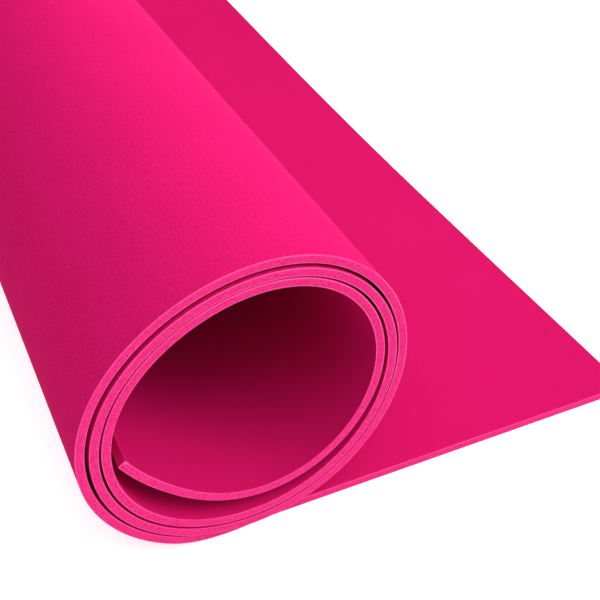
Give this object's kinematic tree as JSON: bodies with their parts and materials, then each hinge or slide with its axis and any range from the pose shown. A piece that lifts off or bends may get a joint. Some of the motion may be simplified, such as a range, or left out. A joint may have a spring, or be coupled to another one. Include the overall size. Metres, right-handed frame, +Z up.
{
  "type": "craft foam sheet",
  "caption": "Sheet of soft craft foam wound into a loose hollow roll, with its outer end lying flat on the surface beside it.",
  "frame": {"origin": "middle of the footprint, on the surface that the sheet lies on", "axes": "+Y along the roll's axis, towards its far end; +X from the roll towards the sheet's flat outer end; +Z up"},
  "size_m": [0.132, 0.503, 0.0674],
  "materials": {
    "foam": "matt closed-cell foam, fine grain on its skin, brighter and finely pored on its cut edges"
  },
  "bodies": {
    "root": {"foam_sheet": "foam"}
  },
  "joints": []
}
